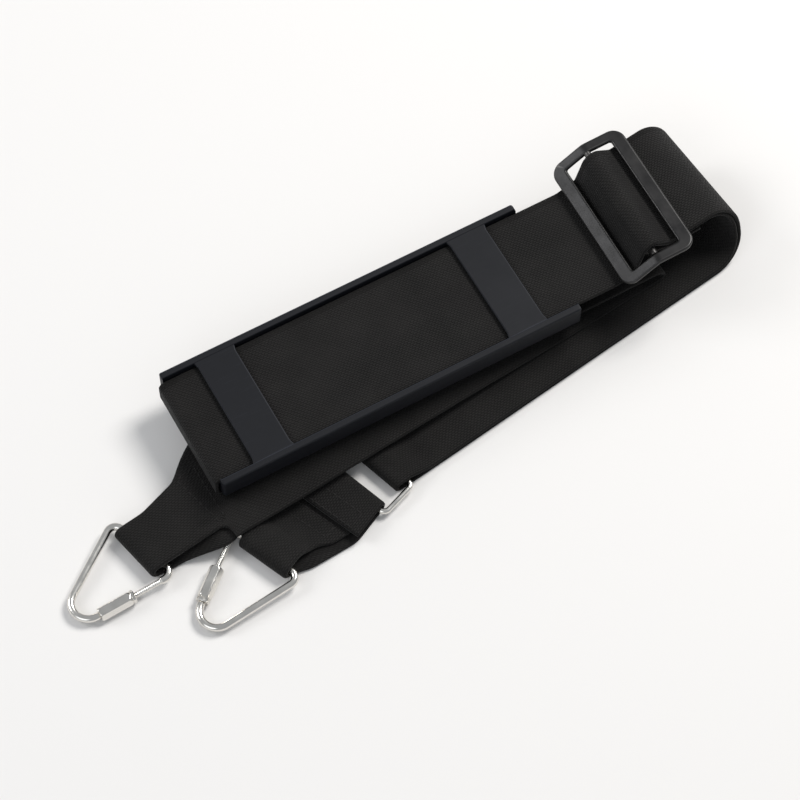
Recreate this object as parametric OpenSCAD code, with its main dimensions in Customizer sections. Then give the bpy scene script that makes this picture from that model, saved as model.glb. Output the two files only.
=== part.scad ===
// Instrument-case carry strap, folded up as it is stored: a long webbing strap with a moulded
// shoulder pad, a three-bar slide, a rectangular ring, a short end tab and two screw links.
// The long webbing lies in four runs, one above the other. Run 1 is the top run through the pad
// and the slide, run 2 lies under the pad, run 3 leads to link A, and run 4 is the doubled
// bottom run that goes to the ring. +X is the length of the pad, +Z is up.

/* [Webbing] */
// Width of the webbing
web_w = 50; // [46:0.5:50]
// Thickness of one layer
web_t = 1.6; // [1.4:0.1:1.7]
// Thickness where the sides are turned in
folded_t = 2.2; // [1.8:0.1:2.3]
// Width of the turned-in ends at the links
end_w = 24; // [22:0.5:24]

/* [Shoulder pad] */
// Length of the pad
pad_l = 163; // [140:1:163]
// Width of the pad over its rims
pad_w = 57; // [56:0.5:60]
// Height of the pad from its ribs to its rims
pad_h = 12.1; // [11.6:0.1:12.4]
// Width of a rim
rim_w = 3; // [2:0.1:3]
// Depth of the tray that the webbing lies in
tray_depth = 4.1; // [3.9:0.1:4.6]
// Width of a bridge, along the pad
bridge_w = 17; // [12:0.5:20]
// Thickness of a bridge
bridge_t = 1.6; // [1.2:0.1:1.9]
// Distance of a bridge's middle from the pad's middle
bridge_x = 58; // [50:0.5:64]
// Distance from one rib of the sole to the next
rib_pitch = 5; // [4:0.5:8]
// Depth of the grooves between the ribs
rib_depth = 1.4; // [0.8:0.1:2]

/* [Slide] */
// Length of the slide, across the webbing
slide_l = 64; // [62:0.5:66]
// Length of each leaf of the slide, along the webbing
leaf_l = 17.4; // [16.4:0.2:18]
// Width of the outer bars
bar_w = 6.2; // [5:0.1:6.5]
// Width of the short sides
side_w = 4.6; // [4:0.1:5]
// Thickness of the slide's plate
plate_t = 2.2; // [1.6:0.1:2.4]
// Outer corner radius
slide_r = 5.5; // [4:0.1:6.5]
// Fall of the leaf on the pad's side, in degrees
leaf_fall = 33; // [30:1:35]
// Rise of the far leaf, in degrees
leaf_rise = 4; // [2:1:5]
// Diameter of the centre bar
centre_d = 3; // [2.5:0.1:3.2]

/* [Ring] */
// Diameter of the ring's wire
ring_d = 2.4; // [2.2:0.1:3]
// Distance between the two long bars, middle to middle
ring_span = 17; // [15:0.5:19]
// Room inside the ring, along its bars
ring_room = 52; // [52:0.5:54]
// Corner radius at the wire's middle
ring_r = 2.5; // [2:0.1:2.5]

/* [Screw links] */
// Diameter of the link's wire
link_d = 3.2; // [2.8:0.1:3.2]
// Base of the link's triangle, before its corners are rounded
link_base = 34; // [33:0.5:36]
// Leg of the link's triangle, before its corners are rounded
link_leg = 57; // [54:0.5:60]
// Radius of the round apex at the wire's middle
apex_r = 7; // [6:0.5:8]
// Radius of the two base corners at the wire's middle
corner_r = 3.5; // [2.5:0.5:3.5]
// Diameter of the thread
thread_d = 2.5; // [2.2:0.1:2.6]
// Length of the screw sleeve
sleeve_l = 15.5; // [14:0.5:16]
// Width of the sleeve across its flats
sleeve_af = 5.5; // [5:0.1:6]

/* [Stitching] */
// Width of one row of stitches
row_w = 0.8; // [0.5:0.1:1]
// Height of the thread above the webbing
row_h = 0.3; // [0.2:0.1:0.4]

/* [Hidden] */
$fn = 48;

gap = 0.3;        // room between two layers that lie on each other
snug = 0.15;      // room between a wire and the webbing around it
layer = web_t + gap;
bend_step = 10;   // degrees of a bend that one facet takes

// The strap's frame: its own origin is under the middle of its box.
centre_x = 3.1;
centre_y = -20.12;

// Heights of the middles of the layers above the floor
run4_z = web_t / 2;
sewn_z = run4_z + layer;
rim_z = 24.6;
pad_z = rim_z - pad_h;
tray_z = rim_z - tray_depth;
run1_z = tray_z + 0.4 + web_t / 2;
run2_z = pad_z - gap - web_t / 2;
run3_z = run2_z - layer;
run3_low_z = sewn_z + layer;

// The slide: the ridge between its two leaves, where the centre bar is
ridge = [117.3, 1.9, 34.2];
slide_turn = -1;
slide_opening = slide_l - 2 * side_w;
loop_r = centre_d / 2 + snug + web_t / 2;
over_r = loop_r + layer;
far_z = ridge[2] - 2.1;

// The ring lies flat: its middle, its turn and the middle of its wire
ring_turn = 20;
ring_z = web_t + snug + ring_d / 2;
ring_at = [-29, -32.3, ring_z];
ring_loop = ring_d / 2 + snug + web_t / 2;
tab_bar = ring_at - ring_span / 2 * [cos(ring_turn), sin(ring_turn), 0];
strap_bar = ring_at + ring_span / 2 * [cos(ring_turn), sin(ring_turn), 0];

// The end tab runs from the ring's bar to the base wire of link B
tab_l = 43.8;
tab_turn = 25.3;
function tab_point(s, z) =
    [tab_bar[0] - s * cos(tab_turn), tab_bar[1] - s * sin(tab_turn), z];

// The links: the middle of the base wire, the turn of the axis, and the tilt that lays the
// far end of the sleeve on the floor
link_z = folded_t + snug + link_d / 2;
link_loop = link_d / 2 + snug + folded_t / 2;
link_a_at = [-118.2, -27.7, link_z];
link_a_turn = 19.4;
link_b_at = tab_point(tab_l, link_z);
link_b_turn = 22.4;
half_apex = asin(link_base / 2 / link_leg);
link_h = link_leg * cos(half_apex);

// The sleeve's place along its leg, from the sharp base corner
sleeve_from = 18;
link_tilt = asin((link_z - sleeve_af / 2 - 0.1) / (sleeve_from + sleeve_l) / cos(half_apex));
sleeve_end = sleeve_from + sleeve_l;
stud_end = sleeve_from + 6;
stub_start = sleeve_end - 4;
seat = 0.1;       // room between the screwed-up sleeve and the wire's shoulder
shoulder_l = 1.5; // full-width wire between the base corner and the thread
sleeve_bore = thread_d + 0.1;

// The right fold, where run 1 turns down into run 4
fold_x = 159.2;
fold_top = far_z - 2;
fold_r = (fold_top - run4_z) / 2;
inner_r = fold_r - layer;
pad_end = pad_l / 2;
left_x = -pad_end - 1.5;
left_r = 1.9;
hairpin_x = 124;
hairpin_r = (run2_z - run3_low_z) / 2;

// ---- bent ribbons ----
// A stop of a route is [[x, y, z], bend radius, turn of the width in degrees, half width, thickness].
function unit(v) = v / norm(v);
function mix(a, b, f) = a + (b - a) * f;

// The points of the round bend at p, between the stops a and b
function bend(a, p, b, r) =
    let (d1 = unit(p - a), d2 = unit(b - p), turn = acos(min(1, d1 * d2)))
    (r == 0 || turn < 1) ? [p] :
    let (cut = r * tan(turn / 2),
         c = p + unit(d2 - d1) * r / cos(turn / 2),
         s = p - d1 * cut - c,
         e = p + d2 * cut - c,
         n = ceil(turn / bend_step))
    [for (i = [0:n]) c + (sin(turn - i * turn / n) * s + sin(i * turn / n) * e) / sin(turn)];

// The stations of a route: every stop replaced by the points of its bend. Two bends that meet
// share a point, which is kept once.
function all_stations(route) = [
    for (i = [0:len(route) - 1])
        let (p = route[i])
        for (q = (i == 0 || i == len(route) - 1) ? [p[0]]
                 : bend(route[i - 1][0], p[0], route[i + 1][0], p[1]))
            [q, p[2], p[3], p[4]]
];
function stations(route) =
    let (all = all_stations(route))
    [for (i = [0:len(all) - 1]) if (i == 0 || norm(all[i][0] - all[i - 1][0]) > 0.01) all[i]];

// The four corners of the ribbon's section at a station that faces along t
function section(s, t) =
    let (w = [-sin(s[1]), cos(s[1]), 0], n = unit(cross(t, w)))
    [s[0] + w * s[2] + n * s[3] / 2, s[0] - w * s[2] + n * s[3] / 2,
     s[0] - w * s[2] - n * s[3] / 2, s[0] + w * s[2] - n * s[3] / 2];

module ribbon(route) {
    st = stations(route);
    last = len(st) - 1;
    pts = [for (i = [0:last])
        let (t = unit(st[min(i + 1, last)][0] - st[max(i - 1, 0)][0]))
        for (p = section(st[i], t)) p];
    sides = [for (i = [0:last - 1], j = [0:3])
        let (a = 4 * i + j, b = 4 * i + (j + 1) % 4)
        for (f = [[a, b + 4, b], [a, a + 4, b + 4]]) f];
    polyhedron(pts, concat(sides, [[0, 1, 2, 3], [for (j = [3:-1:0]) 4 * last + j]]));
}

// ---- webbing ----
half_w = web_w / 2;
half_end = end_w / 2;
wide = [half_w, web_t];
narrow = [half_end, folded_t];
function stop(x, y, z, r, turn, size) = [[x, y, z], r, turn, size[0], size[1]];

// Run 3 and run 4 cross slowly under the pad: their middles, as straight lines in plan
function run3_y(x) = -18.9 + (x + 76.6) * 0.103;
function run4_y(x) = strap_bar[1] + (x - strap_bar[0]) * 0.142;

// From the flap at link A, round the link, and through all four runs to the flap at the slide
link_fold_x = link_a_at[0] - 4.3;
strap_fold_x = strap_bar[0] - ring_loop - 2.6;
main_route = concat(
    [stop(-81, -25.4, run3_z - folded_t - 0.3, 0, 13, [15.5, folded_t]),
     stop(-91.5, -27.8, run3_z - folded_t - 0.4, 8, 13, [17, folded_t]),
     stop(-110, -28.4, link_z - link_loop, 8, 13, narrow),
     stop(link_fold_x, -28.8, link_z - link_loop, link_loop, 13, narrow),
     stop(link_fold_x, -28.8, link_z + link_loop, link_loop, 13, narrow),
     stop(-110, -27.4, link_z + link_loop + 0.7, 12, 14, narrow),
     stop(-92.5, -24, run3_z - 0.25, 12, 18, [14, folded_t]),
     stop(-79.5, run3_y(-79.5), run3_z, 20, -8, wide)],
    [for (x = [-40, 20, 80]) stop(x, run3_y(x), run3_height(x), 20, 5.9, wide)],
    [stop(hairpin_x, run3_y(hairpin_x), run3_low_z, hairpin_r, 5, wide),
     stop(hairpin_x, 1.2, run2_z, hairpin_r, 1, wide),
     stop(left_x, 0, run2_z, left_r, 0, wide),
     stop(left_x, 0, run1_z, left_r, 0, wide),
     stop(101, 0, run1_z, 10, 0, wide),
     stop(109.8, 0.6, ridge[2] - 9.9, 3, slide_turn, wide),
     stop(115.1, 1.2, ridge[2] + 7.1, over_r, slide_turn, wide),
     stop(126.8, 2.5, far_z, 3, slide_turn, wide),
     stop(fold_x, 7.3, fold_top, fold_r, 5, wide),
     stop(fold_x, run4_y(fold_x), run4_z, fold_r, 5, wide),
     stop(20, run4_y(20), run4_z, 0, 8, wide),
     stop(strap_fold_x, strap_bar[1] - 0.9, run4_z, ring_loop, 18, wide),
     stop(strap_fold_x, strap_bar[1] - 0.9, ring_z + ring_loop, ring_loop, 18, wide),
     stop(strap_bar[0] + 2.5, run4_y(strap_bar[0] + 2.5), ring_z + ring_loop, 4, 18, wide),
     stop(-6, run4_y(-6), sewn_z, 12, 10, wide),
     stop(20, run4_y(20), sewn_z, 0, 8, wide),
     stop(fold_x - layer, run4_y(fold_x - layer), sewn_z, inner_r, 5, wide),
     stop(fold_x - layer, 7.1, fold_top - layer, inner_r, 5, wide),
     stop(126.2, 2.5, far_z - layer, 3, slide_turn, wide),
     stop(ridge[0] - loop_r, ridge[1], ridge[2] + 4.95, loop_r, slide_turn, wide),
     stop(ridge[0] - loop_r, ridge[1], ridge[2] - 1.7, loop_r, slide_turn, wide),
     stop(126.6, 2.5, far_z - 2 * layer - 0.3, 3, slide_turn, wide),
     stop(143, 4.4, fold_top - 2 * layer - 0.1, 0, slide_turn, wide)]);

// Run 3 lies on the bottom run at the right and passes over the ring and the tab at the left
function run3_height(x) = mix(run3_z, run3_low_z, min(1, max(0, (x + 10) / 90)));

module main_webbing() {
    color("dimgray") ribbon(main_route);
}

// From the flap at the ring, round the ring's bar, under the tab, round link B and back
// under the first flap
function tab_stop(s, z, r, turn, size) = [tab_point(s, z), r, turn, size[0], size[1]];
tab_fold = -ring_loop - 0.6;
tab_route = [
    tab_stop(16.5, sewn_z + layer + 0.1, 0, 23, wide),
    tab_stop(5, ring_z + ring_loop - 0.1, 6, 23, wide),
    tab_stop(tab_fold, ring_z + ring_loop, ring_loop, 20, wide),
    tab_stop(tab_fold, run4_z, ring_loop, 20, wide),
    tab_stop(18, run4_z, 0, 25, wide),
    tab_stop(38, link_z - link_loop, 0, 24, [17, folded_t]),
    tab_stop(tab_l + 3.2, link_z - link_loop, link_loop, 23.4, narrow),
    tab_stop(tab_l + 3.2, link_z + link_loop, link_loop, 23.4, narrow),
    tab_stop(tab_l - 6, link_z + link_loop - 0.1, 6, 24, narrow),
    tab_stop(31, sewn_z + 0.7, 8, 25, [13.5, folded_t]),
    tab_stop(25.5, sewn_z, 0, 25, [18, web_t]),
    tab_stop(17, sewn_z, 0, 25, [21, web_t]),
    tab_stop(6.5, sewn_z, 0, 24, [21, web_t])];

module tab_webbing() {
    color("dimgray") ribbon(tab_route);
}

// ---- shoulder pad ----
module pad_section() {
    wall_bottom = pad_w / 2 - 2;
    difference() {
        polygon([[-pad_w / 2, pad_h], [-pad_w / 2, 2], [-wall_bottom, 0],
                 [wall_bottom, 0], [pad_w / 2, 2], [pad_w / 2, pad_h]]);
        translate([-pad_w / 2 + rim_w, pad_h - tray_depth])
            square([pad_w - 2 * rim_w, tray_depth + 1]);
    }
}

module shoulder_pad() {
    ribs = floor((pad_l - rib_pitch) / 2 / rib_pitch);
    color("darkslategray") translate([0, 0, pad_z]) {
        difference() {
            rotate([90, 0, 90]) linear_extrude(pad_l, center = true) pad_section();
            for (i = [-ribs:ribs])
                translate([i * rib_pitch - rib_pitch / 4, -pad_w, -1])
                    cube([rib_pitch / 2, 2 * pad_w, rib_depth + 1]);
        }
        for (x = [-bridge_x, bridge_x])
            translate([x - bridge_w / 2, -pad_w / 2 + rim_w, pad_h - bridge_t])
                cube([bridge_w, pad_w - 2 * rim_w, bridge_t]);
    }
}

// ---- slide ----
// The outline of a leaf, from x = from to its rounded outer corners
function arc(centre, r, a) = [for (i = [0:9]) centre + r * [cos(a + 10 * i), sin(a + 10 * i)]];
function leaf_points(from, w, half, r) = concat(
    [[from, -half]], arc([w - r, -half + r], r, -90), arc([w - r, half - r], r, 0), [[from, half]]);

// One leaf, lying flat with its outer bar towards +X. Its end at the ridge is mitred.
module leaf() {
    h = plate_t / 2;
    mitre = h * tan((leaf_fall - leaf_rise) / 2);
    intersection() {
        rotate([90, 0, 0]) linear_extrude(slide_l + 2, center = true)
            polygon([[-mitre, h], [leaf_l + 1, h], [leaf_l + 1, -h], [mitre, -h]]);
        linear_extrude(2 * plate_t, center = true) difference() {
            polygon(leaf_points(-2, leaf_l, slide_l / 2, slide_r));
            polygon(leaf_points(-3, leaf_l - bar_w, slide_opening / 2, slide_r - side_w));
        }
    }
}

module on_ridge() {
    translate(ridge) rotate([0, 0, slide_turn]) children();
}

module slide_frame() {
    color("slategray") on_ridge() {
        rotate([0, -leaf_rise, 0]) leaf();
        rotate([0, leaf_fall, 180]) leaf();
    }
}

module slide_centre_bar() {
    color("lightsteelblue") on_ridge() rotate([90, 0, 0])
        cylinder(d = centre_d, h = slide_opening, center = true);
}

// ---- wire pieces ----
// A bend is a hair thicker than a straight and takes in its end, so that the two are one solid.
swell = 0.04;
bite = 0.3;

// A straight of wire along +X. Its ends run into the bends there.
module wire(l, d, from_bend = bite, to_bend = bite) {
    translate([-from_bend, 0, 0]) rotate([0, 90, 0])
        cylinder(d = d, h = l + from_bend + to_bend);
}

// A bend of wire in the XY plane around the origin, from angle a on
module wire_bend(r, d, a, sweep) {
    rotate([0, 0, a]) rotate_extrude(angle = sweep) translate([r, 0]) circle(d = d + swell);
}

module ring() {
    half_x = ring_span / 2;
    half_y = ring_room / 2 + ring_d / 2;
    color("silver") translate(ring_at) rotate([0, 0, ring_turn])
        for (turned = [0, 180]) rotate([0, 0, turned]) {
            translate([half_x, -half_y + ring_r, 0]) rotate([0, 0, 90])
                wire(2 * (half_y - ring_r), ring_d);
            translate([-half_x + ring_r, half_y, 0]) wire(2 * (half_x - ring_r), ring_d);
            translate([half_x - ring_r, half_y - ring_r, 0]) wire_bend(ring_r, ring_d, 0, 90);
            translate([-half_x + ring_r, half_y - ring_r, 0]) wire_bend(ring_r, ring_d, 90, 90);
        }
}

// ---- screw links ----
// A link's frame: the base wire lies on Y through the origin and the apex points to -X. The
// leg with the sleeve is on +Y.
base_angle = 90 - half_apex;
corner_cut = corner_r / tan(base_angle / 2);
apex_cut = apex_r / tan(half_apex);

module on_link(at, turn, side) {
    translate(at) rotate([0, 0, turn]) rotate([0, -link_tilt, 0])
        mirror([0, side > 0 ? 0 : 1, 0]) children();
}

// Along the leg of the sleeve, from the sharp base corner
module on_leg() {
    translate([0, link_base / 2, 0]) rotate([0, 0, 180 + half_apex]) children();
}

module link_rod() {
    translate([0, -link_base / 2 + corner_cut, 0]) rotate([0, 0, 90])
        wire(link_base - 2 * corner_cut, link_d);
    for (side = [0, 1]) mirror([0, side, 0])
        translate([-corner_r, link_base / 2 - corner_cut, 0])
            wire_bend(corner_r, link_d, 0, 180 - base_angle);
    mirror([0, 1, 0]) on_leg() translate([corner_cut, 0, 0])
        wire(link_leg - corner_cut - apex_cut, link_d);
    translate([-link_h + apex_r / sin(half_apex), 0, 0])
        wire_bend(apex_r, link_d, 90 + half_apex, 180 - 2 * half_apex);
    on_leg() {
        translate([corner_cut, 0, 0]) wire(shoulder_l, link_d, bite, 0);
        translate([corner_cut + shoulder_l, 0, 0])
            wire(stud_end - corner_cut - shoulder_l, thread_d, bite, 0);
        translate([stub_start, 0, 0]) wire(sleeve_end + seat - stub_start, thread_d, 0, bite);
        translate([sleeve_end + seat, 0, 0])
            wire(link_leg - apex_cut - sleeve_end - seat, link_d, 0, bite);
    }
}

module link_sleeve() {
    on_leg() translate([sleeve_from, 0, 0]) rotate([0, 90, 0]) difference() {
        intersection() {
            rotate([0, 0, 30]) cylinder(d = sleeve_af / cos(30), h = sleeve_l, $fn = 6);
            rotate_extrude() polygon([[0, 0], [sleeve_af / 2, 0], [sleeve_af / 2 + 0.4, 0.7],
                [sleeve_af / 2 + 0.4, sleeve_l - 0.7], [sleeve_af / 2, sleeve_l], [0, sleeve_l]]);
        }
        translate([0, 0, -1]) cylinder(d = sleeve_bore, h = sleeve_l + 2);
    }
}

module link_a_rod() {
    color("silver") on_link(link_a_at, link_a_turn, -1) link_rod();
}

module link_a_sleeve() {
    color("gainsboro") on_link(link_a_at, link_a_turn, -1) link_sleeve();
}

module link_b_rod() {
    color("silver") on_link(link_b_at, link_b_turn, 1) link_rod();
}

module link_b_sleeve() {
    color("gainsboro") on_link(link_b_at, link_b_turn, 1) link_sleeve();
}

// ---- stitching ----
// A box of stitch rows on a flat stretch of webbing from a to b, reach to each side, on the
// upper face (face = 1) or the lower one (face = -1)
module stitch_box(a, b, turn, reach, thick, face) {
    t = unit(b - a);
    w = [-sin(turn), cos(turn), 0];
    n = unit(cross(t, w)) * sign(unit(cross(t, w))[2]) * face * (thick + row_h) / 2;
    for (p = [a, b])
        ribbon([[p + n - t * row_w / 2, 0, turn, reach, row_h],
                [p + n + t * row_w / 2, 0, turn, reach, row_h]]);
    for (side = [-1, 1])
        ribbon([[a + n + w * side * (reach - row_w / 2) + t * row_w, 0, turn, row_w / 2, row_h],
                [b + n + w * side * (reach - row_w / 2) - t * row_w, 0, turn, row_w / 2, row_h]]);
}

// The point at fraction f of the straight from one stop of a route to the next
function along(route, i, f) = mix(route[i][0], route[i + 1][0], f);

module stitching_link_a() {
    color("black") stitch_box(along(main_route, 6, 0.06), along(main_route, 6, 0.56), 17, 12,
        folded_t, 1);
}

module stitching_slide_end() {
    i = len(main_route) - 2;
    color("black") stitch_box(along(main_route, i, 0.5), along(main_route, i, 0.92), slide_turn, 21,
        web_t, -1);
}

module stitching_tab_ring() {
    color("black") stitch_box(along(tab_route, 0, 0.1), along(tab_route, 0, 0.75), 23, 21,
        web_t, 1);
}

module stitching_tab_link() {
    color("black") stitch_box(tab_point(18.5, sewn_z), tab_point(24.5, sewn_z), 25, 15, web_t, 1);
}

// The strap's own frame
module placed() {
    translate([-centre_x, -centre_y, 0]) children();
}

placed() main_webbing();
placed() tab_webbing();
placed() shoulder_pad();
placed() slide_frame();
placed() slide_centre_bar();
placed() ring();
placed() link_a_rod();
placed() link_a_sleeve();
placed() link_b_rod();
placed() link_b_sleeve();
placed() stitching_link_a();
placed() stitching_slide_end();
placed() stitching_tab_ring();
placed() stitching_tab_link();
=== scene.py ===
"""Looks of a folded carrying strap: wide webbing, moulded shoulder pad, slide, ring and screw links.

Layout numbers are millimetres from the middle of the shoulder pad, with the floor at z = 0, as in
the CAD source. mesh_object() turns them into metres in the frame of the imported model.
"""

import math

import bmesh
import bpy
import numpy as np
from mathutils import Matrix, Vector, noise


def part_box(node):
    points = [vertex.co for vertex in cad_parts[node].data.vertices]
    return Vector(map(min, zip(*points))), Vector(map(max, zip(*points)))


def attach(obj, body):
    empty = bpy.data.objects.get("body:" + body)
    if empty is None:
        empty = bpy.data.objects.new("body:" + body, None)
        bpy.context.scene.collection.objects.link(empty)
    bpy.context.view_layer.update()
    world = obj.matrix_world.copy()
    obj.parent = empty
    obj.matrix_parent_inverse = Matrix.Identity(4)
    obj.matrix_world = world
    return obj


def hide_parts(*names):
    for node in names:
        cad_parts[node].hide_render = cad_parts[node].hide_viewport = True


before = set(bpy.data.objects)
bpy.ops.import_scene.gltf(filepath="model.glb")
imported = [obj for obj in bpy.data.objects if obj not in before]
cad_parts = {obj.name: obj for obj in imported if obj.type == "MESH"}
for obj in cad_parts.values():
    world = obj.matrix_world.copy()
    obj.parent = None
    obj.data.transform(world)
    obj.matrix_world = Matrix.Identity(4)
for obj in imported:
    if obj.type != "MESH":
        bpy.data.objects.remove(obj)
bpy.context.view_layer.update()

MM = 0.001
pad_low, pad_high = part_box("shoulder_pad")
PAD_MIDDLE = ((pad_low + pad_high) / 2 * Vector((1, 1, 0))) / MM

# ---- sizes, as in the CAD source ----
WEB_W, WEB_T, FOLDED_T, END_W = 50, 1.6, 2.2, 24
PAD_L, PAD_W, PAD_H, RIM_W, TRAY_DEPTH = 163, 57, 12.1, 3, 4.1
BRIDGE_W, BRIDGE_T, BRIDGE_X = 17, 1.6, 58
RIB_PITCH, RIB_DEPTH = 5, 1.4
SLIDE_L, LEAF_L, BAR_W, SIDE_W, PLATE_T, SLIDE_R = 64, 17.4, 6.2, 4.6, 2.2, 5.5
LEAF_FALL, LEAF_RISE, CENTRE_D = 33, 4, 3
RING_D, RING_SPAN, RING_ROOM, RING_R, RING_TURN = 2.4, 17, 52, 2.5, 20
LINK_D, LINK_BASE, LINK_LEG, APEX_R, CORNER_R = 3.2, 34, 57, 7, 3.5
THREAD_D, SLEEVE_L, SLEEVE_AF = 2.5, 15.5, 5.5
GAP, SNUG, TRAY_ROOM, FLOOR_ROOM = 0.3, 0.15, 0.4, 0.1
LAYER = WEB_T + GAP

# Heights of the middles of the layers
RUN4_Z = WEB_T / 2
SEWN_Z = RUN4_Z + LAYER
RIM_Z = 24.6
PAD_Z = RIM_Z - PAD_H
RUN1_Z = RIM_Z - TRAY_DEPTH + TRAY_ROOM + WEB_T / 2
RUN2_Z = PAD_Z - GAP - WEB_T / 2
RUN3_Z = RUN2_Z - LAYER
RUN3_LOW_Z = SEWN_Z + LAYER
RIDGE = np.array([117.3, 1.9, 34.2])
SLIDE_TURN = -1
LOOP_R = CENTRE_D / 2 + SNUG + WEB_T / 2
OVER_R = LOOP_R + LAYER
FAR_DROP = 2.1
FAR_Z = RIDGE[2] - FAR_DROP
RING_Z = WEB_T + SNUG + RING_D / 2
RING_AT = np.array([-29, -32.3, RING_Z])
RING_LOOP = RING_D / 2 + SNUG + WEB_T / 2


def turned(angle):
    """A level step of 1 mm in the direction of angle, in degrees."""
    a = math.radians(angle)
    return np.array([math.cos(a), math.sin(a), 0.0])


TAB_BAR = RING_AT - RING_SPAN / 2 * turned(RING_TURN)
STRAP_BAR = RING_AT + RING_SPAN / 2 * turned(RING_TURN)
TAB_L, TAB_TURN = 43.8, 25.3
LINK_Z = FOLDED_T + SNUG + LINK_D / 2
LINK_LOOP = LINK_D / 2 + SNUG + FOLDED_T / 2
LINK_A_AT, LINK_A_TURN = np.array([-118.2, -27.7, LINK_Z]), 19.4


def tab_point(along, z):
    """A point of the tab's middle line, along mm from the ring's bar."""
    flat = TAB_BAR - along * turned(TAB_TURN)
    return np.array([flat[0], flat[1], z])


LINK_B_AT, LINK_B_TURN = tab_point(TAB_L, LINK_Z), 22.4
HALF_APEX = math.asin(LINK_BASE / 2 / LINK_LEG)
LINK_H = LINK_LEG * math.cos(HALF_APEX)
SLEEVE_FROM = 18
SLEEVE_END = SLEEVE_FROM + SLEEVE_L
LINK_TILT = math.asin((LINK_Z - SLEEVE_AF / 2 - FLOOR_ROOM) / SLEEVE_END / math.cos(HALF_APEX))
FOLD_X, FOLD_TOP = 159.2, FAR_Z - 2
FOLD_R = (FOLD_TOP - RUN4_Z) / 2
INNER_R = FOLD_R - LAYER
LEFT_X = -PAD_L / 2 - 1.5
LEFT_R = 1.9
HAIRPIN_X = 124
HAIRPIN_R = (RUN2_Z - RUN3_LOW_Z) / 2


# ---- meshes ----
def mesh_object(name, points, faces, uv=None):
    """An object from points in millimetres round the pad's middle. uv gives each face its corners."""
    mesh = bpy.data.meshes.new(name)
    metres = (np.asarray(points) + np.array(PAD_MIDDLE)) * MM
    mesh.from_pydata(metres.tolist(), [], faces)
    if uv is not None:
        layer = mesh.uv_layers.new(name="weave")
        layer.data.foreach_set("uv", np.asarray(uv, dtype=np.float32).ravel())
    mesh.polygons.foreach_set("use_smooth", [True] * len(mesh.polygons))
    mesh.update()
    obj = bpy.data.objects.new(name, mesh)
    bpy.context.scene.collection.objects.link(obj)
    return obj


def grid_faces(rows, cols, closed_rows=False):
    """Faces between rows of points, each row a ring of cols points."""
    faces = []
    for i in range(rows if closed_rows else rows - 1):
        for j in range(cols):
            k = (j + 1) % cols
            n = (i + 1) % rows
            faces.append((i * cols + j, i * cols + k, n * cols + k, n * cols + j))
    return faces


def end_caps(rows, cols):
    """The two faces that close the first and the last ring of a grid."""
    last = (rows - 1) * cols
    return [tuple(range(cols)), tuple(last + j for j in reversed(range(cols)))]


def unit(v):
    return v / np.linalg.norm(v)


def smoothstep(x, low, high):
    """0 up to low, 1 from high on, and a smooth rise between them."""
    t = np.clip((x - low) / (high - low), 0, 1)
    return t * t * (3 - 2 * t)


def round_corner(p, d1, d2, r, steps):
    """The points of a round of radius r at the corner p, where the direction d1 turns into d2."""
    turn = math.acos(max(-1.0, min(1.0, float(d1 @ d2))))
    cut = r * math.tan(turn / 2)
    centre = p + unit(d2 - d1) * r / math.cos(turn / 2)
    start, end = p - d1 * cut - centre, p + d2 * cut - centre
    points = []
    for k in range(steps + 1):
        share = k / steps * turn
        points.append(centre + (math.sin(turn - share) * start + math.sin(share) * end) / math.sin(turn))
    return points


# ---- webbing ----
STEP = 1.2        # mm from one station of the webbing to the next
ACROSS = 22       # stations across the webbing
EDGE_POINTS = 5   # points round each woven edge
BEND_STEP = 4     # degrees of a bend from one point to the next
BLUR = 3          # stations each way over which a change of width or turn is spread
CAP_ACROSS = 0.2  # mm from the middle of the weave, where a cut end takes its yarn from


def stop(x, y, z, r, turn, size, slack=0.05):
    """A stop of a route: its place, its bend's radius, and the webbing's sizes there.

    turn is the direction of the webbing's width in degrees from +Y, size its half width and
    thickness, and slack the height of its ripples.
    """
    half, thick = size
    return np.array([x, y, z], float), r, (turn, half, thick, slack)


def bend(a, p, b, r):
    """The points of the round bend at p, between the stops a and b."""
    d1, d2 = unit(p - a), unit(b - p)
    turn = math.degrees(math.acos(min(1.0, float(d1 @ d2))))
    if r == 0 or turn < 1:
        return [p]
    return round_corner(p, d1, d2, r, math.ceil(turn / BEND_STEP))


def smooth_values(values, reach):
    """values blurred along the webbing over reach stations each way, with the ends kept."""
    weights = np.hanning(2 * reach + 3)[1:-1]
    weights /= weights.sum()
    padded = np.concatenate([np.repeat(values[:1], reach, 0), values, np.repeat(values[-1:], reach, 0)])
    return np.stack([np.convolve(padded[:, k], weights, "valid") for k in range(values.shape[1])], 1)


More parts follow.
